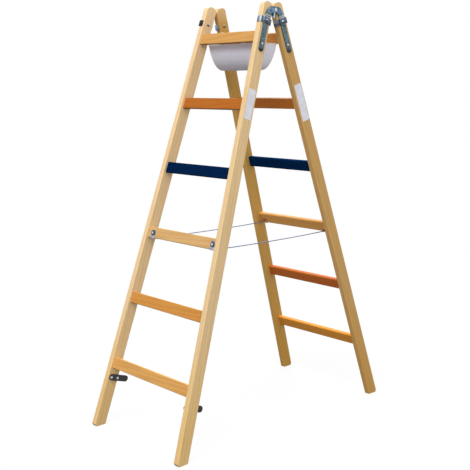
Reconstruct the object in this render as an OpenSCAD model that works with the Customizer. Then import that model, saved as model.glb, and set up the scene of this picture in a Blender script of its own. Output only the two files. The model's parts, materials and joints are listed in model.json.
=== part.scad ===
// Wooden trestle ladder: two tapering rung sections, hinged at the top, held open by two ropes.
// X runs along the rungs, Y from the front section to the rear one, Z up from the floor.
// A section is drawn in its own frame: hinge axis on X, outer edge towards -Y, feet towards -Z.
// A stile frame stands on the outer face of a stile, with X pointing away from the wood.

/* [Stance] */
// Angle of each section from upright when the ladder stands open
half_angle = 17.5; // [15:0.5:20]
// Height of the hinge axis above the floor
hinge_height = 1636; // [1560:1:1720]
// Outer width of a section at the hinge axis
hinge_width = 350; // [340:1:380]
// Outer width of a section at the floor
floor_width = 537; // [480:1:580]
// Distance from the hinge axis to the facing edge of each stile
hinge_offset = 4.2; // [4:0.1:8]

/* [Stiles] */
// Depth of a stile, from its facing edge to its outer edge
stile_depth = 50; // [48:1:56]
// Thickness of a stile, along the rungs
stile_thickness = 24; // [22:1:28]
// Height of the stile's top above the hinge axis
stile_rise = 22; // [18:1:40]
// Radius of the two corners of the stile's rounded top
crown_radius = 22; // [8:1:23]
// Radius of the eased long edges
stile_edge = 3; // [1:0.5:5]
// Chamfer on the outer edge of the foot
foot_chamfer = 10; // [4:1:14]

/* [Rungs] */
// Distance from the hinge axis to the middle of the top rung
top_rung_drop = 119; // [110:1:130]
// Distance up the stile from the floor to the middle of the bottom rung
bottom_rung_rise = 246.4; // [230:0.2:270]
// Height of a rung along the stile
rung_height = 44; // [40:1:48]
// Depth of a rung
rung_depth = 16; // [14:1:24]
// Distance from the stile's outer edge back to the rung's outer face
rung_setback = 10; // [4:0.5:16]
// Radius of a rung's eased edges
rung_edge = 3; // [1:0.5:4]
// Length of the tenon at each end of a rung
tenon_length = 14; // [8:1:16]
// Step from the rung's faces in to its tenon
tenon_shoulder = 4; // [2.5:0.5:6]
// Play round a tenon in its mortise
mortise_play = 0.2; // [0.1:0.05:0.4]

/* [Hinges] */
// Thickness of the hinge plate
plate_thickness = 4; // [3:0.5:5]
// Width of the hinge strap
strap_width = 24; // [18:1:26]
// Distance from the hinge axis to the lower end of the strap
strap_reach = 177; // [150:1:200]
// Radius of the eye round the hinge rivet
eye_radius = 13; // [11:0.5:15]
// Length of the bend between strap and horn
bend_length = 8; // [6:0.5:12]
// Lap of the strap, its bend and the horn in each other
plate_lap = 1; // [0.5:0.5:2]
// Running gap between hinge plates and rivet heads
arm_gap = 0.4; // [0.3:0.1:0.8]
// Radius of the hinge rivet's shank
pivot_radius = 4; // [3:0.5:5]
// Radial clearance of the hinge rivet in its bores
pivot_play = 0.05; // [0.02:0.01:0.1]
// Radius of the hinge rivet's heads
pivot_head_radius = 6.5; // [5.5:0.5:7]
// Height of the hinge rivet's heads
pivot_head_height = 2.2; // [1.6:0.2:3]
// Length of the guard tongue below the hinge axis
tongue_length = 32; // [26:1:34]
// Width of the guard tongue
tongue_width = 20; // [14:1:22]
// Height of the tongue's turned-up flange
flange_height = 5; // [3:0.5:7]

/* [Clips] */
// Gap along the strap between its bend and the clip
clip_gap = 4; // [2:0.5:8]
// Width of the clip along the stile
clip_width = 24; // [16:1:28]
// Thickness of the clip
clip_thickness = 2.5; // [1.5:0.5:3]
// Length of the clip's legs along the stile's narrow edges
clip_grip = 20; // [14:1:22]
// Radius of the clip bolt's shank
bolt_radius = 3; // [2.5:0.5:4]
// Radius of the clip bolt's head and nut
bolt_head_radius = 5.5; // [4.5:0.5:7]
// Height of the clip bolt's head
bolt_head_height = 3; // [2:0.5:4]
// Height of the nuts on the stile's inner face
nut_height = 2; // [1.5:0.5:3]
// Distance from the strap's lower end up to its rivet
strap_rivet_inset = 31; // [20:1:40]
// Radius of the strap rivet's shank
rivet_radius = 2.5; // [2:0.5:3]
// Radius of the strap rivet's head
rivet_head_radius = 4; // [3.5:0.25:4.5]
// Height of the strap rivet's head
rivet_head_height = 2; // [1.5:0.5:3]
// Clearance of bolts, rivets and screws in their holes
fastener_play = 0.1; // [0.05:0.05:0.2]

/* [Rope anchors] */
// Distance from the right stile's inner face to the right rope
rope_inset_right = 18; // [15:1:60]
// Distance from the left stile's inner face to the left rope
rope_inset_left = 28; // [15:1:60]
// Width of an anchor along the rung
anchor_width = 26; // [24:1:28]
// Thickness of an anchor's strip
anchor_thickness = 2; // [1.5:0.5:3]
// Height of an anchor on the rung's outer face
anchor_front = 34; // [28:1:38]
// Height of an anchor on the rung's inner face
anchor_back = 24; // [20:1:30]
// Distance from the rung's underside up to the rope's socket
socket_rise = 10; // [9:0.5:12]
// Length of the rope's socket
socket_length = 14; // [10:1:20]
// Wall of the rope's socket
socket_wall = 2.5; // [1.5:0.5:3]
// Radial gap between the rope and its socket
socket_play = 0.6; // [0.4:0.1:1]
// Distance from the anchor's top edge down to its screw
anchor_screw_inset = 12; // [10:0.5:14]
// Radius of the anchor's washer
washer_radius = 11; // [8:0.5:11.5]
// Thickness of the anchor's washer
washer_thickness = 1.5; // [1:0.5:2]
// Radius of a screw's head
screw_head_radius = 5; // [3.5:0.5:5.5]
// Height of a screw's head
screw_head_height = 2.5; // [1.5:0.5:3]
// Radius of a screw's shank
screw_radius = 2; // [1.5:0.25:2.5]
// Depth of a screw in the wood
screw_bite = 14; // [8:1:15]
// Diameter of the rope
rope_diameter = 4; // [3:0.5:5]

/* [Guide bars] */
// Distance up the stile from the floor to the middle of a guide bar
guide_rise = 187; // [150:1:190]
// Length of a guide bar
guide_length = 90; // [80:1:110]
// Height of a guide bar
guide_height = 25; // [16:1:28]
// Thickness of a guide bar
guide_thickness = 6; // [5:1:12]
// Reach of a guide bar past the stile's facing edge
guide_overhang = 45; // [40:1:54]
// Relief of the overhang, so that it slides past the other stile
guide_relief = 1; // [0.5:0.5:2]
// Distance from the bar's outer end to its first screw
guide_screw_inset = 6; // [5.5:0.5:14]
// Distance between the bar's two screws
guide_screw_gap = 30; // [20:1:34]

/* [Tray] */
// Distance from the middle of the top rung's inner face down to the tray's rim
tray_sag = 20; // [2:1:30]
// Gap between the tray and the top rungs' upper inner edges
tray_play = 3.5; // [1.5:0.1:6]
// Gap between the tray's ends and the stiles at their top
tray_end_play = 0.9; // [0.8:0.1:12]
// Depth of the tray
tray_depth = 103; // [90:1:130]
// Straight draft of the tray's ends over its depth
end_draft = 6; // [4:1:16]
// Round draft of the tray's ends, which ends level with the base
end_round = 44; // [30:1:80]
// Straight draft of the tray's sides over its depth
side_draft = 13; // [12:1:18]
// Round draft of the tray's sides, which ends level with the base
side_round = 15; // [8:1:20]
// Radius of the rim's corners
rim_corner = 8; // [6:1:14]
// Wall of the tray
tray_wall = 3; // [2:0.5:4]
// Width of the rim's lip
rim_lip = 1.5; // [1:0.5:3]
// Thickness of the rim's lip
lip_thickness = 4; // [2:0.5:6]
// Distance of the hooks from the middle of the tray
hook_x = 45; // [30:1:100]
// Width of a hook
hook_width = 16; // [12:1:32]
// Thickness of a hook
hook_thickness = 2; // [1.5:0.5:4]
// Reach of a hook across the rung's top
hook_grip = 10; // [6:1:14]
// Gap between a hook and the rung under it
hook_gap = 0.3; // [0.2:0.1:0.5]

/* [Hidden] */

$fn = 64;
// Overrun of every cut past the faces that it goes through
overrun = 1;
rung_count = 6;
// Rung that carries the ropes, counted from the floor
rope_rung = 3;
sides = [1, -1];
// Colours of the rungs from the floor up
rung_colours = [
    [0.89, 0.66, 0.38], [0.89, 0.62, 0.33], [0.92, 0.72, 0.45],
    [0.07, 0.20, 0.36], [0.83, 0.47, 0.19], [0.90, 0.66, 0.36]
];

hinge_half = hinge_width / 2;
// Length of a section from the hinge axis to the floor, and the lean of its stiles along the rungs
section_run = hinge_height / cos(half_angle);
taper = atan((floor_width - hinge_width) / 2 / section_run);
// Facing edge, middle and outer edge of a stile, counted outwards from the hinge axis
edge_in = hinge_offset;
edge_mid = hinge_offset + stile_depth / 2;
edge_out = hinge_offset + stile_depth;
// Inner and outer face of a rung, counted the same way
rung_out = edge_out - rung_setback;
rung_in = rung_out - rung_depth;
rung_pitch = (section_run - top_rung_drop - bottom_rung_rise) / (rung_count - 1);
// A stile is drawn long, and the floor cuts it
stile_reach = (section_run + edge_out * tan(half_angle)) / cos(taper) + stile_thickness;
floor_cut = 2 * edge_out;
foot_y = -(hinge_height * tan(half_angle) + edge_out / cos(half_angle));
foot_cut = 4 * foot_chamfer;
// Horns stand off the wood by the rivet's inner head, the front one over the rear one
rivet_stand_off = pivot_head_radius * tan(taper) + pivot_head_height + 2 * arm_gap;
rear_horn_x = hinge_half + rivet_stand_off;
front_horn_x = rear_horn_x + plate_thickness + arm_gap;
horn_radius = edge_mid;
bend_drop = horn_radius + bend_length;
clip_drop = bend_drop + clip_gap + clip_width / 2;
strap_rivet_drop = strap_reach - strap_rivet_inset;
strap_half = strap_width / 2;
clip_face = plate_thickness + clip_thickness;
rope_radius = rope_diameter / 2;
socket_bore = rope_radius + socket_play;
// Middle of the rope's rung and the place of its screws, down from the hinge axis
rope_rung_drop = rung_drop(rope_rung);
rung_underside = rope_rung_drop + rung_height / 2;
anchor_screw_drop = rung_underside + anchor_thickness - anchor_front + anchor_screw_inset;
guide_drop = section_run - guide_rise;
// The tray fills the room between the top rungs' upper inner edges and between the stiles' tops
rung_top_y = (top_rung_drop - rung_height / 2) * sin(half_angle) + rung_in * cos(half_angle);
tray_width = 2 * (rung_top_y - tray_play);
tray_length = 2 * (inner_half(stile_rise) - tray_end_play);
tray_rim_z = hinge_height - top_rung_drop * cos(half_angle) + rung_in * sin(half_angle) - tray_sag;
// The tub is a hull of thin slices at even turns of its profile
tub_steps = 7;
tub_slice = 1;
// Underside of a hook on the top rung, down from the hinge axis
hook_drop = top_rung_drop - rung_height / 2 - hook_gap;

// Front half of a rope's route as [y, z], from its socket to the middle of the span
ROPE_HALF = [
    [-307, 746.1], [-301, 744.2], [-295, 742.3], [-288, 740.9], [-278, 740.2], [-265, 739.8],
    [-250, 739.5], [-233, 739.2], [-216, 738.8], [-199, 738.5], [-182, 738.2], [-164, 738],
    [-146, 737.8], [-128, 737.6], [-110, 737.4], [-92, 737.3], [-74, 737.2], [-56, 737.1],
    [-37, 737], [-12, 737]
];
ROPE_SIDES = 8;

function rung_drop(k) = top_rung_drop + (rung_count - k) * rung_pitch;
// Half the clear width between the stiles at height z of a section
function inner_half(z) = hinge_half - stile_thickness / cos(taper) - z * tan(taper);
// Section coordinates [x, z] of a point that is x off a stile's outer face and z along it
function off_face(x, z) = [hinge_half + x * cos(taper) - z * sin(taper), x * sin(taper) + z * cos(taper)];
// Y of a section point that lies at height z of the section and at y in the standing ladder
function section_y(y, z) = (y - z * sin(half_angle)) / cos(half_angle);
// Place [y, z] in the standing ladder of a point of the front section
function standing(y, z) = [
    y * cos(half_angle) + z * sin(half_angle),
    hinge_height - y * sin(half_angle) + z * cos(half_angle)
];
// Place of a rope along the rungs, counted from the middle of the ladder
function rope_x(side) = let (inset = side > 0 ? rope_inset_right : rope_inset_left)
    side * (inner_half(-rope_rung_drop) - inset);
function reversed(list) = [for (i = [len(list) - 1 : -1 : 0]) list[i]];
function rope_route(x) = concat(
    [for (p = ROPE_HALF) [x, p[0], p[1]]],
    [for (p = reversed(ROPE_HALF)) [x, -p[0], p[1]]]
);
function route_slope(route, i) = let (
    a = route[max(i - 1, 0)],
    b = route[min(i + 1, len(route) - 1)]
) atan2(b[2] - a[2], b[1] - a[1]);

// Rectangle with eased corners, from its low corner
module eased_rect(width, height, radius) {
    translate([radius, 0]) square([width - 2 * radius, height]);
    translate([0, radius]) square([width, height - 2 * radius]);
    for (x = [radius, width - radius], y = [radius, height - radius])
        translate([x, y]) circle(radius);
}

// Bar with round ends from one point to another on the same level
module slot_shape(from, to, radius) {
    translate([from + radius, -radius]) square([to - from - 2 * radius, 2 * radius]);
    translate([from + radius, 0]) circle(radius);
    translate([to - radius, 0]) circle(radius);
}

// Flat outline in Y and Z, made into a plate that runs from x for a thickness along X
module plate_yz(x, thickness) {
    translate([x, 0, 0]) rotate([90, 0, 90]) linear_extrude(thickness) children();
}

// Round bar along X
module bar_x(from, to, radius) {
    translate([from, 0, 0]) rotate([0, 90, 0]) cylinder(h = to - from, r = radius);
}

// Round bar along Y
module bar_y(from, to, radius) {
    translate([0, to, 0]) rotate([90, 0, 0]) cylinder(h = to - from, r = radius);
}

module on_front() {
    translate([0, 0, hinge_height]) rotate([-half_angle, 0, 0]) children();
}

module on_rear() {
    mirror([0, 1, 0]) on_front() children();
}

module on_side(side) {
    if (side > 0) translate([hinge_half, 0, 0]) rotate([0, -taper, 0]) children();
    else mirror([1, 0, 0]) translate([hinge_half, 0, 0]) rotate([0, -taper, 0]) children();
}

// Tenons of a rung, as one bar that runs the whole length between the mortises' ends
module tenon_bar(drop, play) {
    length = 2 * (inner_half(-drop) + tenon_length + play);
    depth = rung_depth - 2 * tenon_shoulder + 2 * play;
    height = rung_height - 2 * tenon_shoulder + 2 * play;
    translate([0, -(rung_in + rung_out) / 2, -drop]) cube([length, depth, height], center = true);
}

// Stile's outline from the side, with its rounded top
module stile_outline() {
    translate([-edge_out, -stile_reach]) square([stile_depth, stile_reach + stile_rise - crown_radius]);
    translate([-edge_out + crown_radius, -stile_reach])
        square([stile_depth - 2 * crown_radius, stile_reach + stile_rise]);
    for (y = [-edge_out + crown_radius, -edge_in - crown_radius])
        translate([y, stile_rise - crown_radius]) circle(crown_radius);
}

module stile_blank() {
    intersection() {
        translate([-stile_thickness, -edge_out, -stile_reach])
            linear_extrude(stile_reach + stile_rise) eased_rect(stile_thickness, stile_depth, stile_edge);
        plate_yz(-stile_thickness - overrun, stile_thickness + 2 * overrun) stile_outline();
    }
}

module hinge_holes() {
    translate([0, -edge_mid, -clip_drop])
        bar_x(-stile_thickness - overrun, overrun, bolt_radius + fastener_play);
    translate([0, -edge_mid, -strap_rivet_drop])
        bar_x(-stile_thickness - overrun, overrun, rivet_radius + fastener_play);
}

module guide_screw_places() {
    first = guide_overhang - hinge_offset - guide_length + guide_screw_inset;
    for (y = [first, first + guide_screw_gap])
        translate([0, y, -guide_drop]) children();
}

module guide_screw_holes() {
    guide_screw_places()
        bar_x(-stile_thickness - overrun, -stile_thickness + screw_bite + fastener_play,
            screw_radius + fastener_play);
}

// Section's stile with its mortises, hinge holes and, on the front section, guide screw holes
module stile_body(side, guided) {
    difference() {
        on_side(side) difference() {
            stile_blank();
            hinge_holes();
            if (guided) guide_screw_holes();
        }
        for (k = [1 : rung_count]) tenon_bar(rung_drop(k), mortise_play);
    }
}

// Floor and the chamfer of the feet's outer edge, cut from the front section as it stands
module foot_cuts() {
    width = floor_width + floor_cut;
    translate([-width / 2, foot_y - floor_cut, -floor_cut])
        cube([width, 2 * floor_cut + edge_out, floor_cut]);
    translate([0, foot_y + foot_chamfer, 0]) rotate([atan(1 - tan(half_angle)), 0, 0])
        translate([-width / 2, -foot_cut, -foot_cut]) cube([width, foot_cut, 2 * foot_cut]);
}

module standing_stile(side, guided) {
    difference() {
        on_front() stile_body(side, guided);
        foot_cuts();
    }
}

module front_stile(side) {
    color([0.89, 0.76, 0.55]) standing_stile(side, true);
}

module rear_stile(side) {
    color([0.87, 0.72, 0.50]) mirror([0, 1, 0]) standing_stile(side, false);
}

// Trapezium between the stiles' inner faces, which shoulders a rung
module between_stiles(low, high) {
    rotate([90, 0, 0]) linear_extrude(edge_out) polygon([
        [-inner_half(low), low], [inner_half(low), low], [inner_half(high), high], [-inner_half(high), high]
    ]);
}

module rung_body(k) {
    drop = rung_drop(k);
    low = -drop - rung_height / 2;
    high = -drop + rung_height / 2;
    length = 2 * inner_half(low) + 2 * overrun;
    difference() {
        union() {
            intersection() {
                plate_yz(-length / 2, length)
                    translate([-rung_out, low]) eased_rect(rung_depth, rung_height, rung_edge);
                between_stiles(low - overrun, high + overrun);
            }
            tenon_bar(drop, 0);
        }
        if (k == rope_rung) anchor_screw_places()
            bar_y(-rung_out - overrun, -rung_out - anchor_thickness + screw_bite + fastener_play,
                screw_radius + fastener_play);
    }
}

module front_rung(k) {
    color(rung_colours[k - 1]) on_front() rung_body(k);
}

module rear_rung(k) {
    color(rung_colours[k - 1]) on_rear() rung_body(k);
}

// Strap of a hinge arm on the stile, from the bend down to its round lower end
module strap(side) {
    on_side(side) plate_yz(0, plate_thickness) {
        translate([-edge_mid - strap_half, -strap_reach + strap_half])
            square([strap_width, strap_reach - strap_half - bend_drop]);
        translate([-edge_mid, -strap_reach + strap_half]) circle(strap_half);
    }
}

// Horn that curves from the strap up to the eye on the hinge axis
module horn_outline() {
    intersection() {
        translate([0, -horn_radius]) difference() {
            circle(horn_radius + strap_half);
            circle(horn_radius - strap_half);
        }
        translate([-horn_radius - strap_width, -horn_radius])
            square([horn_radius + strap_width, horn_radius + strap_width]);
    }
    translate([-edge_mid - strap_half, -horn_radius - plate_lap]) square([strap_width, 2 * plate_lap]);
    circle(eye_radius);
}

// Flat link between the strap's bend and the horn, stepped where the horn stands further out
module horn_root(side, horn_x) {
    outer_x = horn_x + plate_thickness;
    points = [
        off_face(0, -bend_drop - plate_lap), off_face(plate_thickness, -bend_drop - plate_lap),
        off_face(plate_thickness, -bend_drop), [outer_x, -horn_radius - plate_lap],
        [outer_x, -horn_radius], [horn_x, -horn_radius],
        [horn_x, -horn_radius - plate_lap], off_face(0, -bend_drop)
    ];
    mirrored = [for (p = points) [side * p[0], p[1]]];
    translate([0, -edge_mid + strap_half, 0]) rotate([90, 0, 0])
        linear_extrude(strap_width) polygon(mirrored);
}

module pivot_bore() {
    bar_x(-hinge_width, hinge_width, pivot_radius + pivot_play);
}

module strap_holes(side) {
    on_side(side) {
        translate([0, -edge_mid, -clip_drop])
            bar_x(-overrun, clip_face + overrun, bolt_radius + fastener_play);
        translate([0, -edge_mid, -strap_rivet_drop])
            bar_x(-overrun, plate_thickness + overrun, rivet_radius + fastener_play);
    }
}

module horn_plate(side, horn_x) {
    x = side > 0 ? horn_x : -horn_x - plate_thickness;
    plate_yz(x, plate_thickness) children();
}

module rear_arm_body(side) {
    difference() {
        union() {
            strap(side);
            horn_root(side, rear_horn_x);
            horn_plate(side, rear_horn_x) horn_outline();
        }
        strap_holes(side);
        pivot_bore();
    }
}

// Guard tongue below the front eye, with its turned-up flange
module tongue(side) {
    flange_x = front_horn_x + plate_thickness;
    horn_plate(side, front_horn_x)
        translate([-tongue_width / 2, -tongue_length]) square([tongue_width, tongue_length]);
    plate_yz(side > 0 ? flange_x : -flange_x - flange_height, flange_height)
        translate([-tongue_width / 2, -tongue_length]) square([plate_thickness, tongue_length - eye_radius]);
}

module front_arm_body(side) {
    difference() {
        union() {
            strap(side);
            horn_root(side, front_horn_x);
            horn_plate(side, front_horn_x) horn_outline();
            tongue(side);
        }
        strap_holes(side);
        pivot_bore();
    }
}

module hinge_arm_front(side) {
    color([0.45, 0.52, 0.58]) on_front() front_arm_body(side);
}

module hinge_arm_rear(side) {
    color([0.42, 0.49, 0.56]) on_rear() rear_arm_body(side);
}

// Rivet through both eyes, fixed in the front section
module hinge_rivet(side) {
    inner = rear_horn_x - arm_gap;
    outer = front_horn_x + plate_thickness + arm_gap;
    flip = side > 0 ? 0 : 1;
    color([0.62, 0.66, 0.70]) on_front() mirror([flip, 0, 0]) {
        bar_x(inner - pivot_head_height, inner, pivot_head_radius);
        bar_x(inner - overrun, outer + overrun, pivot_radius);
        bar_x(outer, outer + pivot_head_height, pivot_head_radius);
    }
}

// Sheet clip over the strap and round both narrow edges of a stile
module clip_outline(grow) {
    translate([-clip_grip, -edge_out - grow]) square([clip_grip + grow, stile_depth + 2 * grow]);
    translate([-clip_grip, -edge_mid - strap_half - grow])
        square([clip_grip + plate_thickness + grow, strap_width + 2 * grow]);
}

module clip_body(side) {
    on_side(side) difference() {
        translate([0, 0, -clip_drop - clip_width / 2]) linear_extrude(clip_width) difference() {
            clip_outline(clip_thickness);
            translate([-overrun, 0]) clip_outline(0);
            clip_outline(0);
        }
        translate([0, -edge_mid, -clip_drop])
            bar_x(-overrun, clip_face + overrun, bolt_radius + fastener_play);
    }
}

module stile_clip_front(side) {
    color([0.55, 0.60, 0.66]) on_front() clip_body(side);
}

module stile_clip_rear(side) {
    color([0.55, 0.60, 0.66]) on_rear() clip_body(side);
}

// Bolt through clip, strap and stile, with its nut on the stile's inner face
module through_bolt(drop, face, shank, head_radius, head_height) {
    translate([0, -edge_mid, -drop]) {
        bar_x(-stile_thickness - nut_height, -stile_thickness, head_radius);
        bar_x(-stile_thickness - nut_height, face + head_height, shank);
        bar_x(face, face + head_height / 2, head_radius);
        translate([face + head_height / 2, 0, 0]) rotate([0, 90, 0])
            cylinder(h = head_height / 2, r1 = head_radius, r2 = shank);
    }
}

module clip_bolt_pair() {
    for (side = sides) on_side(side)
        through_bolt(clip_drop, clip_face, bolt_radius, bolt_head_radius, bolt_head_height);
}

module strap_rivet_pair() {
    for (side = sides) on_side(side)
        through_bolt(strap_rivet_drop, plate_thickness, rivet_radius, rivet_head_radius, rivet_head_height);
}

module clip_bolts_front() {
    color([0.66, 0.69, 0.73]) on_front() clip_bolt_pair();
}

module clip_bolts_rear() {
    color([0.66, 0.69, 0.73]) on_rear() clip_bolt_pair();
}

module strap_rivets_front() {
    color([0.66, 0.69, 0.73]) on_front() strap_rivet_pair();
}

module strap_rivets_rear() {
    color([0.66, 0.69, 0.73]) on_rear() strap_rivet_pair();
}

// Strip bent round the underside of the rope's rung, with the rope's socket on its back
module anchor_outline() {
    low = -rung_underside - anchor_thickness;
    across = rung_depth + 2 * anchor_thickness;
    translate([-rung_out - anchor_thickness, low]) square([anchor_thickness, anchor_front]);
    translate([-rung_out - anchor_thickness, low]) square([across, anchor_thickness]);
    translate([-rung_in, low]) square([anchor_thickness, anchor_back]);
}

module anchor_screw_places() {
    for (side = sides) translate([rope_x(side), 0, -anchor_screw_drop]) children();
}

module anchor_body(side) {
    back = -rung_in + anchor_thickness;
    difference() {
        union() {
            plate_yz(rope_x(side) - anchor_width / 2, anchor_width) anchor_outline();
            translate([rope_x(side), 0, -rung_underside + socket_rise])
                bar_y(back - anchor_thickness / 2, back + socket_length, socket_bore + socket_wall);
        }
        translate([rope_x(side), 0, -rung_underside + socket_rise])
            bar_y(back, back + socket_length + overrun, socket_bore);
        anchor_screw_places()
            bar_y(-rung_out - anchor_thickness - overrun, -rung_out + anchor_thickness / 2,
                screw_radius + fastener_play);
    }
}

module rope_anchor_front(side) {
    color([0.70, 0.72, 0.75]) on_front() anchor_body(side);
}

module rope_anchor_rear(side) {
    color([0.70, 0.72, 0.75]) on_rear() anchor_body(side);
}

module anchor_screw_pair() {
    seat = -rung_out - anchor_thickness - washer_thickness;
    anchor_screw_places() {
        bar_y(seat - screw_head_height, seat, screw_head_radius);
        bar_y(seat - overrun, -rung_out - anchor_thickness + screw_bite, screw_radius);
    }
}

module anchor_washer_pair() {
    seat = -rung_out - anchor_thickness;
    anchor_screw_places() difference() {
        bar_y(seat - washer_thickness, seat, washer_radius);
        bar_y(seat - washer_thickness - overrun, seat + overrun, screw_radius + fastener_play);
    }
}

module anchor_screws_front() {
    color([0.60, 0.62, 0.65]) on_front() anchor_screw_pair();
}

module anchor_screws_rear() {
    color([0.60, 0.62, 0.65]) on_rear() anchor_screw_pair();
}

module anchor_washers_front() {
    color([0.75, 0.77, 0.80]) on_front() anchor_washer_pair();
}

module anchor_washers_rear() {
    color([0.75, 0.77, 0.80]) on_rear() anchor_washer_pair();
}

// Round tube swept along a rope's route
module rope(side) {
    route = rope_route(rope_x(side));
    last = len(route) - 1;
    rings = [for (i = [0 : last], s = [0 : ROPE_SIDES - 1])
        let (turn = 360 * s / ROPE_SIDES, lean = route_slope(route, i))
            route[i] + rope_radius * [cos(turn), -sin(turn) * sin(lean), sin(turn) * cos(lean)]];
    walls = [for (i = [0 : last - 1], s = [0 : ROPE_SIDES - 1], half = [0, 1])
        let (a = i * ROPE_SIDES + s, b = i * ROPE_SIDES + (s + 1) % ROPE_SIDES)
            half == 0 ? [a, b, b + ROPE_SIDES] : [a, b + ROPE_SIDES, a + ROPE_SIDES]];
    ends = [
        [for (s = [0 : ROPE_SIDES - 1]) ROPE_SIDES - 1 - s],
        [for (s = [0 : ROPE_SIDES - 1]) last * ROPE_SIDES + s]
    ];
    color([0.80, 0.82, 0.86]) polyhedron(rings, concat(walls, ends));
}

// Bar that lines the two sections up when the ladder is folded
module guide_bar_body() {
    tip = guide_overhang - hinge_offset;
    difference() {
        plate_yz(-stile_thickness - guide_thickness, guide_thickness)
            translate([0, -guide_drop]) slot_shape(tip - guide_length, tip, guide_height / 2);
        translate([-stile_thickness - guide_relief, -edge_in, -guide_drop - guide_height])
            cube([guide_relief + overrun, guide_overhang + overrun, 2 * guide_height]);
        guide_screw_places()
            bar_x(-stile_thickness - guide_thickness - overrun, -stile_thickness + overrun,
                screw_radius + fastener_play);
    }
}

module guide_bar(side) {
    color([0.06, 0.06, 0.06]) on_front() on_side(side) guide_bar_body();
}

module guide_screws() {
    seat = -stile_thickness - guide_thickness;
    color([0.60, 0.62, 0.65]) on_front() for (side = sides) on_side(side) guide_screw_places() {
        bar_x(seat - screw_head_height, seat, screw_head_radius);
        bar_x(seat - overrun, -stile_thickness + screw_bite, screw_radius);
    }
}

// Tub whose ends and sides curve in to a flat base, drawn in by an inset and carried on above the rim
module tub(inset, above) {
    depth = tray_depth - inset;
    hull($fn = 32) for (step = [0 : tub_steps], x = sides, y = sides) {
        turn = 90 * step / tub_steps;
        end_in = end_draft * sin(turn) + end_round * (1 - cos(turn));
        side_in = side_draft * sin(turn) + side_round * (1 - cos(turn));
        rise = step == 0 ? above : 0;
        translate([
            x * (tray_length / 2 - rim_lip - rim_corner - end_in),
            y * (tray_width / 2 - rim_lip - rim_corner - side_in),
            tray_rim_z - max(depth * sin(turn), tub_slice)
        ]) cylinder(h = tub_slice + rise, r = rim_corner - inset);
    }
}

module rim() {
    translate([-tray_length / 2, -tray_width / 2, tray_rim_z - lip_thickness])
        linear_extrude(lip_thickness) eased_rect(tray_length, tray_width, rim_corner + rim_lip);
}

// Hook that stands on the rim and is bent out over the front top rung, as one strip
module tray_hook() {
    leg_out = -tray_width / 2;
    leg_in = leg_out + hook_thickness;
    foot = tray_rim_z - lip_thickness;
    under = -hook_drop;
    top = under + hook_thickness;
    tip = -rung_in - hook_grip;
    plate_yz(-hook_width / 2, hook_width) polygon([
        [leg_out, foot], [leg_in, foot], standing(section_y(leg_in, top), top),
        standing(tip, top), standing(tip, under), standing(section_y(leg_out, under), under)
    ]);
}

module tool_tray() {
    color([0.93, 0.93, 0.95]) difference() {
        union() {
            tub(0, 0);
            rim();
            for (x = sides) translate([x * hook_x, 0, 0]) {
                tray_hook();
                mirror([0, 1, 0]) tray_hook();
            }
        }
        tub(tray_wall, overrun);
    }
}

// Draws one copy of a sub-part that stands on both sides
module sided(name, side) {
    end = side > 0 ? "_right" : "_left";
    children();
}

for (side = sides) {
    sided("front_stile", side) front_stile(side);
    sided("rear_stile", side) rear_stile(side);
    sided("hinge_arm_front", side) hinge_arm_front(side);
    sided("hinge_arm_rear", side) hinge_arm_rear(side);
    sided("hinge_rivet", side) hinge_rivet(side);
    sided("stile_clip_front", side) stile_clip_front(side);
    sided("stile_clip_rear", side) stile_clip_rear(side);
    sided("rope", side) rope(side);
    sided("rope_anchor_front", side) rope_anchor_front(side);
    sided("rope_anchor_rear", side) rope_anchor_rear(side);
    sided("guide_bar", side) guide_bar(side);
}
for (k = [1 : rung_count]) {
    front_rung(k);
    rear_rung(k);
}
clip_bolts_front();
clip_bolts_rear();
strap_rivets_front();
strap_rivets_rear();
anchor_screws_front();
anchor_screws_rear();
anchor_washers_front();
anchor_washers_rear();
guide_screws();
tool_tray();
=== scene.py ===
"""Looks of a wooden trestle ladder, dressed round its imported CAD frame. Metres, Z up."""

import json
import math

import bmesh
import bpy
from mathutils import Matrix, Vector


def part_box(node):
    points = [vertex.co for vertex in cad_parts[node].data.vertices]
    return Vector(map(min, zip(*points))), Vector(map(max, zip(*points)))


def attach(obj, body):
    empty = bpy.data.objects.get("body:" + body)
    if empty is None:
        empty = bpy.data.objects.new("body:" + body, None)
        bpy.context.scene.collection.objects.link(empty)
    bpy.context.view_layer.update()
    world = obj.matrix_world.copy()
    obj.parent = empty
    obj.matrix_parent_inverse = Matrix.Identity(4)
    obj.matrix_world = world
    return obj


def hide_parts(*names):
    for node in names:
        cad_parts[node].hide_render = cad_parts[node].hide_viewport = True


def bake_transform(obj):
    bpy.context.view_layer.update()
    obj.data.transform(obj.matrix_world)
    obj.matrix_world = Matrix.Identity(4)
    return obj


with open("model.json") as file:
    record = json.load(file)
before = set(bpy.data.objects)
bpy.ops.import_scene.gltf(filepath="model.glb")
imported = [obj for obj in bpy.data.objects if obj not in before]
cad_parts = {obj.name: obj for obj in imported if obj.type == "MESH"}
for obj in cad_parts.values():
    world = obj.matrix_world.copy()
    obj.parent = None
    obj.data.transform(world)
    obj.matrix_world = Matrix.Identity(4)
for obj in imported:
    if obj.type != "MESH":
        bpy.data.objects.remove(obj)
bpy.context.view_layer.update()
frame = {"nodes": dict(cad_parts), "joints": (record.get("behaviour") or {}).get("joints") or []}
scene = bpy.context.scene
nodes = frame["nodes"]

# The fold joint gives the hinge axis and the lean of each section; the rest repeats part.scad.
FOLD = next(j for j in frame["joints"] if j["name"] == "fold")
HINGE_Z = FOLD["pos_m"][2]
LEAN = math.radians(FOLD["range_deg"][1]) / 2
LEANS = {"front": LEAN, "rear": -LEAN}
HINGE_HALF = 0.175
FLOOR_HALF = 0.2685
TAPER = math.atan((FLOOR_HALF - HINGE_HALF) / (HINGE_Z / math.cos(LEAN)))
MM = 0.001


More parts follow.
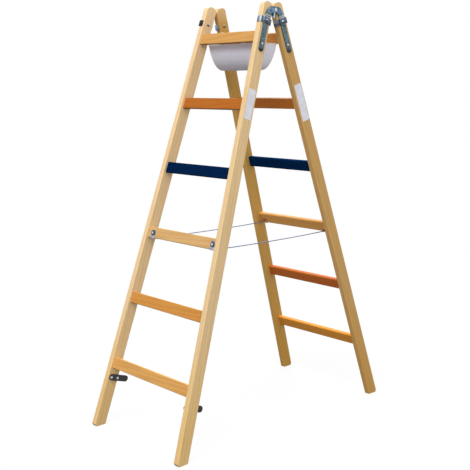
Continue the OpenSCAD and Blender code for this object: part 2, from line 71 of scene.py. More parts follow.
def linear(r, g, b):
    """Scene colour of an 8-bit display colour."""
    return tuple(
        c / 12.92 if c <= 0.04045 else ((c + 0.055) / 1.055) ** 2.4
        for c in (r / 255, g / 255, b / 255)
    )


def shade(colour, k):
    return tuple(c * k for c in colour)


def tint(colour, factors):
    return tuple(c * k for c, k in zip(colour, factors))


# camera
IMAGE_PX = 470
FOCAL_PX = 859.5
PRINCIPAL_DROP_PX = -44.0
SENSOR_WIDTH_MM = 36.0
CAMERA_AT = (2.5270, -2.4136, 1.3323)
CAMERA_TURN = math.radians(46.771)
CAMERA_TILT = math.radians(-6.742)
VIEW_DEPTH = 60.0


def make_camera():
    data = bpy.data.cameras.new("camera")
    data.sensor_fit = "HORIZONTAL"
    data.sensor_width = SENSOR_WIDTH_MM
    data.lens = FOCAL_PX / IMAGE_PX * SENSOR_WIDTH_MM
    data.shift_y = PRINCIPAL_DROP_PX / IMAGE_PX
    data.clip_end = VIEW_DEPTH
    cam = bpy.data.objects.new("camera", data)
    scene.collection.objects.link(cam)
    look = Vector(
        (
            -math.sin(CAMERA_TURN) * math.cos(CAMERA_TILT),
            math.cos(CAMERA_TURN) * math.cos(CAMERA_TILT),
            math.sin(CAMERA_TILT),
        )
    )
    cam.location = CAMERA_AT
    cam.rotation_mode = "QUATERNION"
    cam.rotation_quaternion = look.to_track_quat("-Z", "Y")
    scene.camera = cam


make_camera()


# node material helper
class Shader:
    """A material's node tree with one Principled shader, built node by node."""

    def __init__(self, name):
        self.material = bpy.data.materials.new(name)
        self.material.use_nodes = True
        self.tree = self.material.node_tree
        self.tree.nodes.clear()
        self.out = self.add("ShaderNodeOutputMaterial")
        self.bsdf = self.add("ShaderNodeBsdfPrincipled")
        self.link(self.bsdf.outputs["BSDF"], self.out.inputs["Surface"])

    def add(self, kind, inputs=None, **settings):
        node = self.tree.nodes.new(kind)
        for key, value in settings.items():
            setattr(node, key, value)
        for key, value in (inputs or {}).items():
            if isinstance(value, bpy.types.NodeSocket):
                self.link(value, node.inputs[key])
            else:
                node.inputs[key].default_value = value
        return node

    def link(self, source, target):
        self.tree.links.new(source, target)

    def set(self, **values):
        """Links or sets the Principled shader's inputs."""
        for key, value in values.items():
            socket = self.bsdf.inputs[key.replace("_", " ")]
            if isinstance(value, bpy.types.NodeSocket):
                self.link(value, socket)
            else:
                socket.default_value = value

    def coords(self, turn=(0, 0, 0), offset=(0, 0, 0)):
        where = self.add("ShaderNodeTexCoord")
        return self.add(
            "ShaderNodeMapping",
            {"Vector": where.outputs["Object"], "Rotation": turn, "Location": offset},
        ).outputs["Vector"]

    def facing(self):
        return self.add("ShaderNodeTexCoord").outputs["Normal"]

    def axes(self, vector):
        return self.add("ShaderNodeSeparateXYZ", {"Vector": vector}).outputs

    def stretch(self, vector, scale):
        return self.add("ShaderNodeMapping", {"Vector": vector, "Scale": scale}).outputs["Vector"]

    def noise(self, vector, scale, detail, rough, twist=0.0):
        return self.add(
            "ShaderNodeTexNoise",
            {"Vector": vector, "Scale": scale, "Detail": detail, "Roughness": rough,
             "Distortion": twist},
        ).outputs["Fac"]

    def math(self, operation, a, b=0.0):
        return self.add("ShaderNodeMath", {0: a, 1: b}, operation=operation).outputs["Value"]

    def size(self, value):
        """Value without its sign."""
        return self.math("ABSOLUTE", value)

    def both(self, a, b):
        """Product of two masks."""
        return self.math("MULTIPLY", a, b)

    def weigh(self, *parts):
        """Sum of values, each with its weight."""
        total, *rest = [self.math("MULTIPLY", value, weight) for value, weight in parts]
        for part in rest:
            total = self.math("ADD", total, part)
        return total

    def remap(self, value, low, high, to_low, to_high):
        return self.add(
            "ShaderNodeMapRange",
            {"Value": value, "From Min": low, "From Max": high, "To Min": to_low, "To Max": to_high},
        ).outputs["Result"]

    def ramp(self, value, stops):
        node = self.add("ShaderNodeValToRGB", {"Fac": value})
        ends = node.color_ramp.elements
        while len(ends) < len(stops):
            ends.new(0.5)
        for end, (at, colour) in zip(ends, stops):
            end.position = at
            end.color = (*colour, 1.0)
        return node.outputs["Color"]

    def mix(self, factor, a, b, blend="MIX"):
        node = self.add("ShaderNodeMix", data_type="RGBA", blend_type=blend)
        for socket, value in ((0, factor), (6, a), (7, b)):
            if isinstance(value, bpy.types.NodeSocket):
                self.link(value, node.inputs[socket])
            else:
                node.inputs[socket].default_value = value if socket == 0 else (*value, 1.0)
        return node.outputs[2]

    def bump(self, height, strength, depth):
        node = self.add("ShaderNodeBump", {"Height": height, "Strength": strength, "Distance": depth})
        self.link(node.outputs["Normal"], self.bsdf.inputs["Normal"])


# wood
GRAIN_SHIFT = (0.37, 0.53, 0.19)
RING_STRETCH = (1.0, 1.0, 0.045)
RING_WAVE = {"Distortion": 7.5, "Detail": 3.0, "Detail Scale": 0.9, "Detail Roughness": 0.62}
PORE_STRETCH = (1.0, 1.0, 0.018)
PORE_NOISE = (780.0, 3.0, 0.6)
PORE_BUMP = (0.22, 0.6 * MM)
TONE_STRETCH = (1.0, 1.0, 0.16)
TONE_NOISE = (16.0, 4.0, 0.6)
FLECK_NOISE = (420.0, 2.0, 0.6)
DEEP_GRAIN = (0.20, 0.26, 0.34)
PALE_GRAIN = (0.07, 0.09, 0.13)
VARNISH_ROUGH = (0.60, 0.42)
END_ON = (0.80, 0.97)
END_SHARE = 0.75
# Faces that point downwards get painted shade.
UNDERSIDE = (-0.52, -0.40)


def wood(name, colour, turn, seed, contrast, ring_scale, gloss, soil, wear_and_light):
    """Varnished wood whose grain runs along Z after the turn.

    It has rings, pores, darker end grain, painted shade on faces underneath and the piece's own marks
    and painted light.
    """
    s = Shader(name)
    at = s.coords(turn, shade(GRAIN_SHIFT, seed))
    rings = s.add(
        "ShaderNodeTexWave",
        {"Vector": s.stretch(at, RING_STRETCH), "Scale": ring_scale, **RING_WAVE},
        wave_type="BANDS", bands_direction="DIAGONAL",
    ).outputs["Fac"]
    pores = s.noise(s.stretch(at, PORE_STRETCH), *PORE_NOISE)
    tone = s.noise(s.stretch(at, TONE_STRETCH), *TONE_NOISE)
    fleck = s.noise(at, *FLECK_NOISE)

    deep = tint(colour, [1.0 - k * contrast for k in DEEP_GRAIN])
    pale = tuple(min(1.0, c) for c in tint(colour, [1.0 + k * contrast for k in PALE_GRAIN]))
    grain = s.weigh((rings, 0.34), (tone, 0.46), (pores, 0.20))
    body = s.ramp(grain, [(0.24, deep), (0.50, colour), (0.74, pale)])

    facing = s.facing()
    turned = s.add(
        "ShaderNodeMapping", {"Vector": facing, "Rotation": turn}, vector_type="NORMAL"
    ).outputs["Vector"]
    end_wood = s.ramp(fleck, [(0.30, shade(colour, 0.50)), (0.70, shade(colour, 0.80))])
    body = s.mix(s.remap(s.size(s.axes(turned)["Z"]), *END_ON, 0.0, END_SHARE), body, end_wood)
    # Painted shade on faces that point downwards.
    under_shade_colour = s.ramp(fleck, [(0.30, shade(colour, 0.10)), (0.75, shade(colour, 0.32))])
    body = s.mix(s.remap(s.axes(facing)["Z"], *UNDERSIDE, soil, 0.0), body, under_shade_colour)
    body = wear_and_light(s, tone, pale, body)

    rough = s.remap(pores, 0.25, 0.75, *VARNISH_ROUGH)
    s.set(Base_Color=body, Roughness=rough, Specular_IOR_Level=gloss)
    s.bump(s.weigh((pores, 0.7), (rings, 0.3)), *PORE_BUMP)
    return s.material


FOOT_FADE = (150 * MM, 480 * MM)
FOOT_TINT = (0.99, 0.93, 0.74)
CROWN_FADE = (HINGE_Z - 40 * MM, HINGE_Z + 20 * MM)
CROWN_WOOD = linear(252, 218, 168)
CROWN_SHARE = 0.55


def stile_wear(s, tone, pale, body):
    """Wood yellowed near the floor and paler round the hinge's height."""
    height = s.axes(s.coords())["Z"]
    body = s.mix(s.remap(height, *FOOT_FADE, 1.0, 0.0), body, FOOT_TINT, "MULTIPLY")
    return s.mix(s.remap(height, *CROWN_FADE, 0.0, CROWN_SHARE), body, CROWN_WOOD)


LIT_TOP_FADE = 2 * MM
LIT_TOP_SHARE = 0.85


def lit_rung_top(section, line):
    """Painted highlight on a rung: above a line up the stile, its top is painted in paler wood as if
    lit.
    """

    def wear_and_light(s, tone, pale, body):
        axes = s.axes(s.coords())
        up = s.weigh((axes["Y"], math.sin(LEANS[section])), (axes["Z"], math.cos(LEAN)))
        # Painted highlight: paler wood on the rung's top, as if lit from above.
        rubbed = s.ramp(tone, [(0.30, shade(pale, 1.5)), (0.70, shade(pale, 1.9))])
        return s.mix(s.remap(up, line, line + LIT_TOP_FADE, 0.0, LIT_TOP_SHARE), body, rubbed)

    return wear_and_light


# zinc-coated steel
SMEAR_NOISE = (34.0, 5.0, 0.65, 0.6)
SCRATCH_STRETCH = (0.5, 3.0, 0.25)
SCRATCH_NOISE = (900.0, 2.0, 0.7)
SCRATCH_BUMP = (0.10, 0.3 * MM)


def zinc(name, dark, bright, spangle, rough, wear_and_light=None):
    """Zinc-coated steel: crystal spangles, smears and fine scratches under a piece's own marks and
    painted light.
    """
    s = Shader(name)
    at = s.coords()
    crystals = s.add(
        "ShaderNodeTexVoronoi", {"Vector": at, "Scale": spangle, "Randomness": 1.0}, feature="F1"
    ).outputs["Color"]
    flake = s.add("ShaderNodeSeparateColor", {"Color": crystals}).outputs["Red"]
    smear = s.noise(at, *SMEAR_NOISE)
    scratch = s.noise(s.stretch(at, SCRATCH_STRETCH), *SCRATCH_NOISE)
    body = s.ramp(s.weigh((flake, 0.40), (smear, 0.60)), [(0.20, dark), (0.80, bright)])
    if wear_and_light:
        body = wear_and_light(s, s.axes(at), smear, body)
    polish_and_highlight = s.remap(s.math("ADD", flake, scratch), 0.4, 1.5, *rough)
    s.set(Base_Color=body, Roughness=polish_and_highlight, Metallic=1.0)
    s.bump(s.weigh((scratch, 0.6), (flake, 0.4)), *SCRATCH_BUMP)
    return s.material


def down_stile(s, axes):
    """Distance down either section's stiles from the hinge axis."""
    below = s.math("SUBTRACT", HINGE_Z, axes["Z"])
    return s.weigh((s.size(axes["Y"]), math.sin(LEAN)), (below, math.cos(LEAN)))


def greys(stops):
    return [(at, (k, k, k)) for at, k in stops]


# Colour of the painted highlights on the hinge bends and on the clips.
HIGHLIGHT_STEEL = linear(226, 236, 246)
HORN_DROP = (18 * MM, 30 * MM)
HORN_TINT = (1.22, 1.24, 1.42)
# Painted highlights on the bends above the clips.
BEND_DROP = (28 * MM, 42 * MM)
BEND_HIGHLIGHT = greys([(0.0, 0.0), (0.30, 0.75), (0.52, 0.1), (0.75, 0.8), (1.0, 0.0)])
BEND_HIGHLIGHT_PATCH = (0.35, 0.6)
TONGUE_HALF = 10 * MM
TONGUE_EDGE = 2 * MM
TONGUE_END = (HINGE_Z - 12 * MM, HINGE_Z - 4 * MM)
TONGUE_SHARE = 0.9
# Painted highlight on the tongue's front flank, painted shade on its rear flank.
TONGUE_LIGHT_AND_SHADE = [
    (0.0, linear(96, 116, 130)), (0.20, linear(214, 222, 236)), (0.42, linear(96, 112, 126)),
    (0.62, linear(30, 32, 36)), (1.0, linear(14, 14, 16)),
]
TIP_HEIGHT = HINGE_Z - 149 * MM
TIP_FADE = 14 * MM
TIP_COLOUR = linear(52, 38, 32)
TIP_SHARE = 0.92


def hinge_light_and_wear(s, axes, smear, body):
    """A bluer horn, painted highlights on the bends above the clips, painted highlight and shade across
    the guard tongue, and blackened tips.
    """
    drop = down_stile(s, axes)
    body = s.mix(s.remap(drop, *HORN_DROP, 1.0, 0.0), body, HORN_TINT, "MULTIPLY")
    bend = s.ramp(s.remap(drop, *BEND_DROP, 0.0, 1.0), BEND_HIGHLIGHT)
    body = s.mix(s.both(bend, s.remap(smear, *BEND_HIGHLIGHT_PATCH, 0.5, 1.0)), body, HIGHLIGHT_STEEL)
    tongue = s.ramp(s.remap(axes["Y"], -TONGUE_HALF, TONGUE_HALF, 0.0, 1.0), TONGUE_LIGHT_AND_SHADE)
    beside = s.remap(s.size(axes["Y"]), TONGUE_HALF, TONGUE_HALF + TONGUE_EDGE, 1.0, 0.0)
    below = s.remap(axes["Z"], *TONGUE_END, TONGUE_SHARE, 0.0)
    body = s.mix(s.both(beside, below), body, tongue)
    burnt = s.math("ADD", axes["Z"], s.math("MULTIPLY", smear, TIP_FADE))
    black = s.remap(burnt, TIP_HEIGHT, TIP_HEIGHT + TIP_FADE, TIP_SHARE, 0.0)
    return s.mix(black, body, TIP_COLOUR)


# A fade across a middle plane tells left from right, or front from rear.
MIDDLE = (-10 * MM, 10 * MM)
FORWARD = (-0.9, -0.6)
OUTWARD = (0.6, 0.9)
CLIP_DROP = (41 * MM, 66 * MM)
CLIP_SMEAR = 2 * MM
# Painted shade in bands down the clip, darkest under the bolts, with the top edge left bright.
CLIP_BANDED_SHADE = [
    (0.05, (1, 1, 1)), (0.22, (0.42, 0.44, 0.5)), (0.52, (0.8, 0.8, 0.84)),
    (0.68, (0.03, 0.03, 0.04)), (0.86, (0.40, 0.40, 0.46)), (1.0, (0.06, 0.06, 0.07)),
]
BANDED_SHADE_SHARE = 0.85
# Painted shade on the clip's sides.
CLIP_SIDE_SHADE = linear(52, 60, 68)
SIDE_SHADE_SHARE = 0.6
# Painted highlight on the clip's faces towards the front.
CLIP_HIGHLIGHT_BAND = (HINGE_HALF - 7 * MM, HINGE_HALF)
HIGHLIGHT_SHARES = (0.08, 0.85)
REAR_HIGHLIGHT = 0.1
# Painted shadow over the clip at the front left.
CLIP_SHADOW = linear(14, 12, 14)
CLIP_SHADOW_SHARE = 0.93


def clip_light_and_shade(s, axes, smear, body):
    """Painted shade in bands by height, painted shade on the sides, a painted highlight on faces
    towards the front and a painted shadow on the clip at the front left.
    """
    drop = s.math("ADD", down_stile(s, axes), s.math("MULTIPLY", smear, CLIP_SMEAR))
    banded_shade = s.ramp(s.remap(drop, *CLIP_DROP, 0.0, 1.0), CLIP_BANDED_SHADE)
    body = s.mix(BANDED_SHADE_SHARE, body, banded_shade, "MULTIPLY")
    facing = s.axes(s.facing())
    body = s.mix(s.remap(s.size(facing["X"]), *OUTWARD, 0.0, SIDE_SHADE_SHARE), body, CLIP_SIDE_SHADE)
    forward = s.remap(facing["Y"], *FORWARD, 1.0, 0.0)
    highlight_band = s.remap(s.size(axes["X"]), *CLIP_HIGHLIGHT_BAND, *HIGHLIGHT_SHARES)
    polish_and_highlight = s.both(highlight_band, s.remap(axes["Y"], *MIDDLE, 1.0, REAR_HIGHLIGHT))
    body = s.mix(s.both(polish_and_highlight, forward), body, HIGHLIGHT_STEEL)
    left = s.remap(axes["X"], *MIDDLE, CLIP_SHADOW_SHARE, 0.0)
    front_left = s.both(left, s.remap(axes["Y"], *MIDDLE, 1.0, 0.0))
    return s.mix(s.both(front_left, forward), body, CLIP_SHADOW)


# Painted shade on the lower part of bolt heads and nuts.
BOLT_DROP = (51.5 * MM, 53.5 * MM)
BOLT_SHADE = linear(30, 26, 28)
BOLT_SHADE_SHARE = 0.9


def bolt_painted_shade(s, axes, smear, body):
    """Heads and nuts keep bright upper edges, above painted shade on the rest."""
    return s.mix(s.remap(down_stile(s, axes), *BOLT_DROP, 0.0, BOLT_SHADE_SHARE), body, BOLT_SHADE)


RUST = [(0.3, linear(44, 34, 28)), (0.7, linear(84, 62, 46))]
RUST_SHARE = 0.85


def screw_wear(s, axes, smear, body):
    """Rust on the right-hand screws."""
    return s.mix(s.remap(axes["X"], *MIDDLE, 0.0, RUST_SHARE), body, s.ramp(smear, RUST))


# plastic and film
CLOUD_NOISE = (22.0, 4.0, 0.6)
SCUFF_STRETCH = (1.0, 1.0, 0.35)
SCUFF_NOISE = (160.0, 5.0, 0.7, 0.8)
PEBBLE_DETAIL = (2.0, 0.5)
PEBBLE_BUMP = (0.10, 0.2 * MM)
ROUGH_SPREAD = (-0.06, 0.14)
# Darker low on the tray; fading it out towards the right end paints light on that end.
LIT_END_FADE = (60 * MM, 140 * MM)
DARK_LOW_TINT = (1.02, 1.0, 0.96)
DARK_LOW_SHARE = 0.9


def moulded(name, colour, worn, roughness, pebble, darker_low=None):
    """Moulded plastic with a fine pebble, faint clouds and rubbed patches.

    Where the last argument gives two heights, the plastic is darker below them. The darkening thins out
    between them and fades out towards the right, so that the right end is painted lighter as if lit.
    """
    s = Shader(name)
    at = s.coords()
    cloud = s.noise(at, *CLOUD_NOISE)
    scuff = s.noise(s.stretch(at, SCUFF_STRETCH), *SCUFF_NOISE)
    skin = s.noise(at, pebble, *PEBBLE_DETAIL)
    body = s.ramp(
        s.weigh((cloud, 0.7), (scuff, 0.3)),
        [(0.32, shade(colour, 0.94)), (0.55, colour), (0.80, worn)],
    )
    if darker_low:
        axes = s.axes(at)
        film = tint(colour, DARK_LOW_TINT)
        dark_low = s.ramp(scuff, [(0.3, shade(film, 0.38)), (0.7, shade(film, 0.48))])
        away_from_lit_end = s.remap(axes["X"], *LIT_END_FADE, 1.0, 0.0)
        body = s.mix(s.both(away_from_lit_end, s.remap(axes["Z"], *darker_low, DARK_LOW_SHARE, 0.0)), body, dark_low)
    rough = s.remap(scuff, 0.30, 0.75, *(roughness + k for k in ROUGH_SPREAD))
    s.set(Base_Color=body, Roughness=rough)
    s.bump(skin, *PEBBLE_BUMP)
    return s.material


AGE_NOISE = (45.0, 5.0, 0.65)
RUB_STRETCH = (1.0, 1.0, 0.2)
RUB_NOISE = (300.0, 4.0, 0.7)
RUB_BUMP = (0.06, 0.2 * MM)
FILM_ROUGH = (0.30, 0.52)


def paper(name, colour):
    """Plain film sticker, slightly yellowed and rubbed."""
    s = Shader(name)
    at = s.coords()
    age = s.noise(at, *AGE_NOISE)
    rub = s.noise(s.stretch(at, RUB_STRETCH), *RUB_NOISE)
    s.set(
        Base_Color=s.ramp(age, [(0.30, shade(colour, 0.86)), (0.62, colour)]),
        Roughness=s.remap(rub, 0.3, 0.7, *FILM_ROUGH),
    )
    s.bump(rub, *RUB_BUMP)
    return s.material


# wooden pieces, each with the turn that brings its grain on to Z
STILE_COLOURS = {
    ("front", "right"): linear(233, 201, 151),
    ("front", "left"): linear(239, 206, 157),
    ("rear", "right"): linear(207, 164, 100),
    ("rear", "left"): linear(212, 166, 87),
}
STILE_LOOK = {"contrast": 0.5, "ring_scale": 42.0, "gloss": 0.18, "soil": 0.85}
RUNG_COLOURS = {
    "front": [
        linear(222, 166, 93), linear(211, 146, 69), linear(218, 174, 114),
        linear(6, 33, 70), linear(181, 103, 32), linear(211, 157, 89),
    ],
    "rear": [
        linear(208, 138, 50), linear(181, 95, 31), linear(206, 150, 81),
        linear(6, 40, 80), linear(194, 115, 42), linear(208, 143, 73),
    ],
}
RUNG_LOOK = {"contrast": 0.6, "ring_scale": 52.0, "soil": 0.7}
RUNG_GLOSS = 0.15
RUNG_TURN = (0.0, -math.pi / 2, 0.0)
RUNG_SEED = {"front": 10, "rear": 20}
BLUE_RUNG = 4
# How far down from each rung's top its painted highlight reaches, in mm.
LIT_TOP_MM = {"front": (1, 1, 1, 1, 1, 1), "rear": (7, 7, 7, 2, 0.5, 0.5)}


def dress(name, material):
    obj = nodes[name]
    obj.data.materials.clear()
    obj.data.materials.append(material)


def lit_top_height(section, number):
    """Height up the stile of the line above which a rung's top gets its painted highlight."""
    lean = LEANS[section]
    corners = [v.co for v in nodes[f"{section}_rung_{number}"].data.vertices]
    top = max(p.y * math.sin(lean) + p.z * math.cos(lean) for p in corners)
    return top - LIT_TOP_MM[section][number - 1] * MM


for seed, ((section, side), colour) in enumerate(STILE_COLOURS.items(), 1):
    turn = (LEANS[section], TAPER if side == "right" else -TAPER, 0.0)
    stile_wood = wood(f"{section}_{side}_stile_wood", colour, turn, seed, wear_and_light=stile_wear, **STILE_LOOK)
    dress(f"{section}_stile_{side}", stile_wood)
for section, colours in RUNG_COLOURS.items():
    for number, colour in enumerate(colours, 1):
        name = f"{section}_rung_{number}"
        rung_wood = wood(
            f"{name}_wood", colour, RUNG_TURN, number + RUNG_SEED[section],
            gloss=0.0 if number == BLUE_RUNG else RUNG_GLOSS,
            wear_and_light=lit_rung_top(section, lit_top_height(section, number)), **RUNG_LOOK,
        )
        dress(name, rung_wood)


# steel and plastic pieces
SHEET_SPANGLE = 150.0
SMALL_SPANGLE = 260.0
WIRE_SPANGLE = 900.0
SHEET_ROUGH = (0.26, 0.44)
BRIGHT_ROUGH = (0.20, 0.36)
ANCHOR_ROUGH = (0.24, 0.42)
DULL_ROUGH = (0.34, 0.52)
WIRE_ROUGH = (0.28, 0.44)
BRIGHT = (linear(176, 182, 190), linear(222, 226, 232), SMALL_SPANGLE, BRIGHT_ROUGH)
# Heights below which the tray is darker.
TRAY_DARK_LOW = (HINGE_Z - 211 * MM, HINGE_Z - 161 * MM)

HINGE_ZINC = zinc(
    "hinge_zinc", linear(50, 68, 78), linear(114, 138, 150), SHEET_SPANGLE, SHEET_ROUGH, hinge_light_and_wear
)
CLIP_ZINC = zinc(
    "clip_zinc", linear(132, 150, 166), linear(186, 202, 216), SHEET_SPANGLE, SHEET_ROUGH, clip_light_and_shade
)
BOLT_ZINC = zinc("bolt_zinc", *BRIGHT, bolt_painted_shade)
BRIGHT_ZINC = zinc("bright_zinc", *BRIGHT)
SCREW_ZINC = zinc("screw_zinc", *BRIGHT, screw_wear)
ANCHOR_ZINC = zinc(
    "anchor_zinc", linear(118, 126, 140), linear(196, 204, 214), SMALL_SPANGLE, ANCHOR_ROUGH
)
RUSTED = zinc("rusted_steel", linear(112, 76, 50), linear(204, 158, 116), SMALL_SPANGLE, DULL_ROUGH)
WASHER_STEEL = zinc(
    "washer_steel", linear(44, 52, 64), linear(78, 88, 102), SMALL_SPANGLE, DULL_ROUGH
)
ROPE_WIRE = zinc("rope_wire", linear(64, 68, 100), linear(146, 150, 180), WIRE_SPANGLE, WIRE_ROUGH)
BLACK = moulded(
    "guide_black", linear(26, 26, 28), linear(58, 58, 60), roughness=0.46, pebble=900.0
)
TRAY = moulded(
    "tray_white", linear(238, 239, 255), linear(243, 244, 255), roughness=0.34, pebble=700.0,
    darker_low=TRAY_DARK_LOW,
)
STICKER = paper("sticker_film", linear(236, 236, 246))

DRESSED = {
    "hinge_arm": HINGE_ZINC,
    "stile_clip": CLIP_ZINC,
    "clip_bolts": BOLT_ZINC,
    "hinge_rivet": BRIGHT_ZINC,
    "strap_rivets": BRIGHT_ZINC,
    "anchor_screws": BRIGHT_ZINC,
    "guide_screws": SCREW_ZINC,
    "rope_anchor_front": ANCHOR_ZINC,
    "rope_anchor_rear": RUSTED,
    "anchor_washers": WASHER_STEEL,
    "guide_bar": BLACK,
    "tool_tray": TRAY,
}
for name in nodes:
    for start, material in DRESSED.items():
        if name.startswith(start):
            dress(name, material)


# ropes, along the same points as their solids
ROPE_DIAMETER = 4 * MM
ROPE_HALF = [
    (-307, 746.1), (-301, 744.2), (-295, 742.3), (-288, 740.9), (-278, 740.2), (-265, 739.8),
    (-250, 739.5), (-233, 739.2), (-216, 738.8), (-199, 738.5), (-182, 738.2), (-164, 738),
    (-146, 737.8), (-128, 737.6), (-110, 737.4), (-92, 737.3), (-74, 737.2), (-56, 737.1),
    (-37, 737), (-12, 737),
]
STRANDS = 6
STRAND_GROOVE = 0.13
ROPE_RING = 24
LAY_LENGTH = 26 * MM
RING_STEP = 2 * MM


def finish_mesh(mesh, name, material):
    """Turns a bmesh into a linked object of one material."""
    bmesh.ops.recalc_face_normals(mesh, faces=mesh.faces)
    data = bpy.data.meshes.new(name)
    mesh.to_mesh(data)
    mesh.free()
    data.materials.append(material)
    piece = bpy.data.objects.new(name, data)
    scene.collection.objects.link(piece)
    return piece


def rope_points(x):
    """The whole route: its front half, and the rear half that mirrors it."""
    front = [Vector((x, y * MM, z * MM)) for y, z in ROPE_HALF]
    return front + [Vector((p.x, -p.y, p.z)) for p in reversed(front)]


def spread(points, step):
    """The route's own line, with points about a step apart."""
    out = []
    for a, b in zip(points, points[1:]):
        count = max(1, round((b - a).length / step))
        out += [a.lerp(b, i / count) for i in range(count)]
    return out + [points[-1]]


def rope_piece(side, x):
    """A rope of twisted strands in place of its plain CAD solid."""
    path = spread(rope_points(x), RING_STEP)
    mesh = bmesh.new()
    rings = []
    run = 0.0
    across = Vector((1, 0, 0))
    for i, p in enumerate(path):
        ahead = (path[min(i + 1, len(path) - 1)] - path[max(i - 1, 0)]).normalized()
        up = across.cross(ahead)
        run += (p - path[i - 1]).length if i else 0.0
        ring = []
        for k in range(ROPE_RING):
            turn = 2 * math.pi * k / ROPE_RING
            lobe = abs(math.cos(STRANDS / 2 * turn))
            reach = ROPE_DIAMETER / 2 * (1 - STRAND_GROOVE * (1 - lobe))
            wound = turn + 2 * math.pi * run / LAY_LENGTH
            ring.append(mesh.verts.new(p + reach * (math.cos(wound) * across + math.sin(wound) * up)))
        rings.append(ring)
    for a, b in zip(rings, rings[1:]):
        for k in range(ROPE_RING):
            n = (k + 1) % ROPE_RING
            mesh.faces.new((a[k], a[n], b[n], b[k])).smooth = True
    mesh.faces.new(list(reversed(rings[0])))
    mesh.faces.new(rings[-1])
    piece = finish_mesh(mesh, f"rope_strands_{side}", ROPE_WIRE)
    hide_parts(f"rope_{side}")
    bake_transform(piece)


for side in ("right", "left"):
    low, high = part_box(f"rope_{side}")
    rope_piece(side, (low.x + high.x) / 2)


# plain stickers on the outer faces of the right-hand stiles
STICKER_LIFTS = (0.05 * MM, 0.25 * MM)
STICKER_CORNER = 4 * MM
CORNER_STEPS = 6


def on_stile(section, drop, out, lift):
    """Point on a right-hand stile's outer face.

    It lies a drop down from the hinge, out from the section's plane and a lift off the wood.
    """
    x = HINGE_HALF + drop * math.sin(TAPER) + lift * math.cos(TAPER)
    down = drop * math.cos(TAPER) - lift * math.sin(TAPER)
    y = -(down * math.sin(LEAN) + out * math.cos(LEAN))
    z = HINGE_Z - down * math.cos(LEAN) + out * math.sin(LEAN)
    return Vector((x, y if section == "front" else -y, z))


def sticker(section, top, bottom, inner, outer):
    """A thin film with round corners on a right-hand stile's outer face."""
    mesh = bmesh.new()
    outline = []
    r = STICKER_CORNER
    corners = [(outer - r, top + r, -90), (outer - r, bottom - r, 0),
               (inner + r, bottom - r, 90), (inner + r, top + r, 180)]
    for out, drop, start in corners:
        for i in range(CORNER_STEPS + 1):
            a = math.radians(start + 90 * i / CORNER_STEPS)
            outline.append((out + r * math.cos(a), drop + r * math.sin(a)))
    faces = []
    for lift in STICKER_LIFTS:
        ring = [mesh.verts.new(on_stile(section, drop, out, lift)) for out, drop in outline]
        faces.append(mesh.faces.new(ring))
    under, over = (list(f.verts) for f in faces)
    for i in range(len(outline)):
        n = (i + 1) % len(outline)
        mesh.faces.new((under[i], under[n], over[n], over[i]))
    piece = finish_mesh(mesh, f"{section}_sticker", STICKER)
    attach(piece, f"{section}_section")


sticker("front", top=328 * MM, bottom=446 * MM, inner=12 * MM, outer=48.5 * MM)
sticker("rear", top=307 * MM, bottom=458 * MM, inner=11 * MM, outer=50 * MM)


# floor, backdrop and light
WHITE = (1.0, 1.0, 1.0, 1.0)
FLOOR_SIZE = 30.0
FLOOR_DROP = 0.5 * MM
FLOOR_BOUNCE = (0.25, 0.25, 0.25)
FLOOR_SEEN = (0.95, 0.95, 0.95)
FLOOR_ROUGH = 0.9
SHADOW_KEPT = 0.12
SHADOW_FADE = (0.8, 1.5)
FILL = 0.26


def white_when_seen(s):
    """Shows the camera and mirrors plain white, with a share of the shade kept round the feet."""
    where = s.add("ShaderNodeTexCoord").outputs["Object"]
    away = s.add("ShaderNodeVectorMath", {0: where}, operation="LENGTH").outputs["Value"]
    kept = s.remap(away, *SHADOW_FADE, SHADOW_KEPT, 0.0)
    path = s.add("ShaderNodeLightPath").outputs
    seen = s.math("MAXIMUM", path["Is Camera Ray"], path["Is Glossy Ray"])
    seen = s.math("MAXIMUM", seen, path["Is Transmission Ray"])
    glow = s.add("ShaderNodeEmission", {"Color": WHITE, "Strength": 1.0})
    share = s.both(seen, s.math("SUBTRACT", 1.0, kept))
    shown = s.add(
        "ShaderNodeMixShader",
        {"Fac": share, 1: s.bsdf.outputs["BSDF"], 2: glow.outputs["Emission"]},
    )
    s.link(shown.outputs["Shader"], s.out.inputs["Surface"])


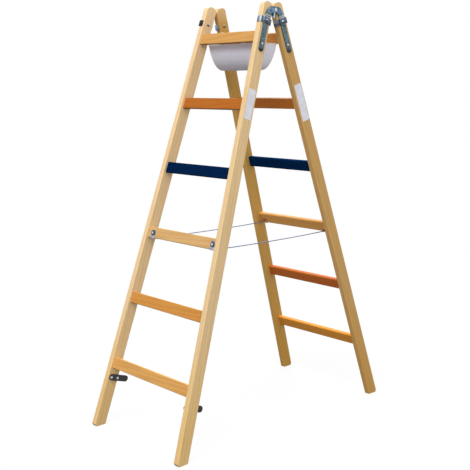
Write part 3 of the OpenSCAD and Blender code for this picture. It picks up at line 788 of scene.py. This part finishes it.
def make_floor():
    bpy.ops.mesh.primitive_plane_add(size=FLOOR_SIZE, location=(0, 0, -FLOOR_DROP))
    floor = bpy.context.object
    floor.name = "floor"
    s = Shader("floor_pale")
    seen = s.add("ShaderNodeLightPath").outputs["Is Camera Ray"]
    pale = s.mix(seen, FLOOR_BOUNCE, FLOOR_SEEN)
    s.set(Base_Color=pale, Roughness=FLOOR_ROUGH, Specular_IOR_Level=0.0)
    white_when_seen(s)
    floor.data.materials.append(s.material)


def backdrop(tree, strength):
    node = tree.nodes.new("ShaderNodeBackground")
    node.inputs["Color"].default_value = WHITE
    node.inputs["Strength"].default_value = strength
    return node.outputs["Background"]


def make_world():
    """A weak white fill that the camera and mirrors see as plain white."""
    world = bpy.data.worlds.new("studio")
    scene.world = world
    world.use_nodes = True
    tree = world.node_tree
    tree.nodes.clear()
    out = tree.nodes.new("ShaderNodeOutputWorld")
    path = tree.nodes.new("ShaderNodeLightPath")
    seen = tree.nodes.new("ShaderNodeMath")
    seen.operation = "MAXIMUM"
    mix = tree.nodes.new("ShaderNodeMixShader")
    tree.links.new(path.outputs["Is Camera Ray"], seen.inputs[0])
    tree.links.new(path.outputs["Is Glossy Ray"], seen.inputs[1])
    tree.links.new(seen.outputs[0], mix.inputs["Fac"])
    tree.links.new(backdrop(tree, FILL), mix.inputs[1])
    tree.links.new(backdrop(tree, 1.0), mix.inputs[2])
    tree.links.new(mix.outputs["Shader"], out.inputs["Surface"])


def area_light(name, at, aim, size, power):
    data = bpy.data.lights.new(name, "AREA")
    data.shape = "SQUARE"
    data.size = size
    data.energy = power
    light = bpy.data.objects.new(name, data)
    scene.collection.objects.link(light)
    light.location = at
    light.rotation_mode = "QUATERNION"
    light.rotation_quaternion = (Vector(aim) - Vector(at)).to_track_quat("-Z", "Y")


make_floor()
make_world()
area_light("key", at=(1.5, -5.6, 7.9), aim=(0, 0, 0.9), size=6.5, power=780)
area_light("side", at=(6.8, -0.6, 3.5), aim=(0, 0, 1.1), size=6.4, power=205)
area_light("back", at=(-4.5, 5.5, 5.0), aim=(0, 0, 0.9), size=6.0, power=380)

scene.view_settings.view_transform = "Standard"
